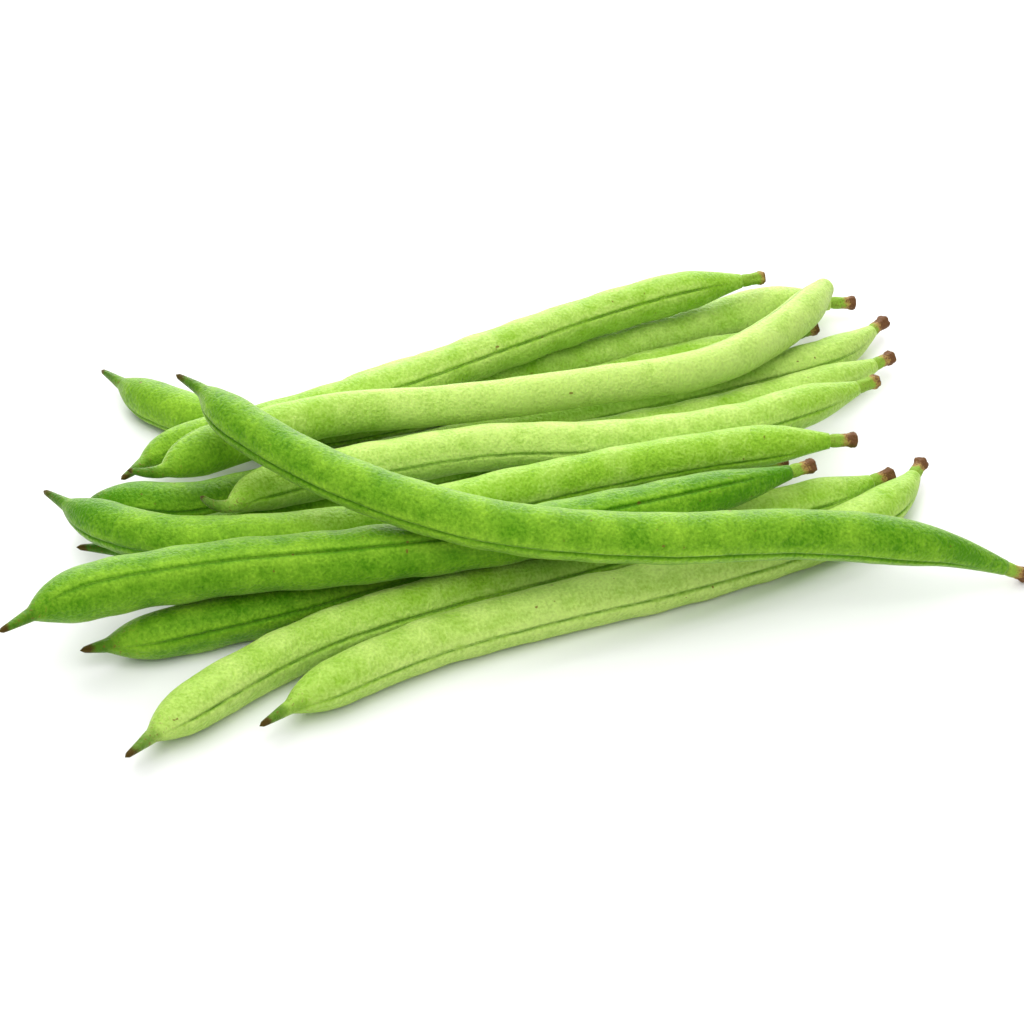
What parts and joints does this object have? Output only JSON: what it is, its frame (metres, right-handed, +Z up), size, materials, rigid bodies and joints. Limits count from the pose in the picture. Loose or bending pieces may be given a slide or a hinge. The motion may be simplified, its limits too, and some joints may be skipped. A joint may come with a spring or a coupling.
{
  "type": "green bean bundle",
  "caption": "Loose bundle of fresh green beans lying one on another, with pointed beaks and cut stalk ends.",
  "frame": {"origin": "middle of the bundle's footprint on the table", "axes": "+X along the beans from the beaks to the stalks, +Y away from the viewer, +Z up"},
  "size_m": [0.1664, 0.14, 0.0303],
  "materials": {
    "pod_light": "fresh light green bean skin, velvety with a soft sheen",
    "pod_green": "fresh mid-green bean skin, velvety with a soft sheen",
    "pod_deep": "fresh deep green bean skin, velvety with a soft sheen",
    "stalk": "green stalk stub with a dry brown end, matt"
  },
  "bodies": {
    "root": {"pod_back_low": "pod_light", "stalk_back_low": "stalk", "pod_back_deep": "pod_deep", "stalk_back_deep": "stalk", "pod_floor_rear": "pod_light", "stalk_floor_rear": "stalk", "pod_floor_middle": "pod_deep", "stalk_floor_middle": "stalk", "pod_floor_young": "pod_green", "stalk_floor_young": "stalk", "pod_floor_hidden": "pod_green", "stalk_floor_hidden": "stalk", "pod_floor_shaded": "pod_green", "stalk_floor_shaded": "stalk", "pod_front_second": "pod_light", "stalk_front_second": "stalk", "pod_front_first": "pod_light", "stalk_front_first": "stalk", "pod_back_top": "pod_light", "stalk_back_top": "stalk", "pod_upper_front": "pod_green", "stalk_upper_front": "stalk", "pod_upper_middle": "pod_light", "stalk_upper_middle": "stalk", "pod_upper_left": "pod_green", "stalk_upper_left": "stalk", "pod_upper_rear": "pod_light", "pod_across_top": "pod_deep", "stalk_across_top": "stalk"}
  },
  "joints": []
}
